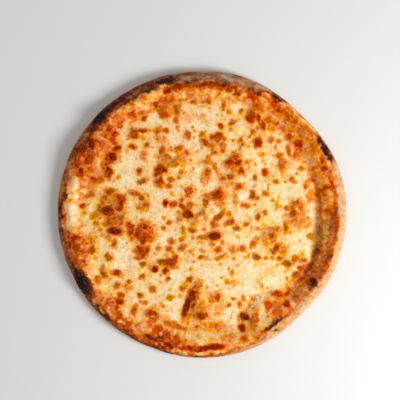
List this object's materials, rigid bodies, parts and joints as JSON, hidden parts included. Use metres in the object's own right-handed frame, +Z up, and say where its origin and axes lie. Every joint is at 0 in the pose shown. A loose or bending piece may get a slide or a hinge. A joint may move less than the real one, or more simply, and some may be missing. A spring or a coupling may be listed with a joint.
{
  "type": "margherita pizza",
  "caption": "Whole round baked pizza with a raised, charred rim and a bed of melted, blistered cheese; uncut, without its plate.",
  "frame": {"origin": "on the flat underside, under the middle of the bounding box", "axes": "+Z up out of the cheese, +X to the right and +Y away as seen from above"},
  "size_m": [0.3026, 0.2998, 0.0194],
  "materials": {
    "crust": "baked dough, floury and pale on the lip, golden to red-brown on the rim, black on its bubbles",
    "melted_cheese": "melted mozzarella, cream to yellow, oily, with orange and brown blisters"
  },
  "bodies": {
    "root": {"crust": "crust", "melted_cheese": "melted_cheese"}
  },
  "joints": []
}
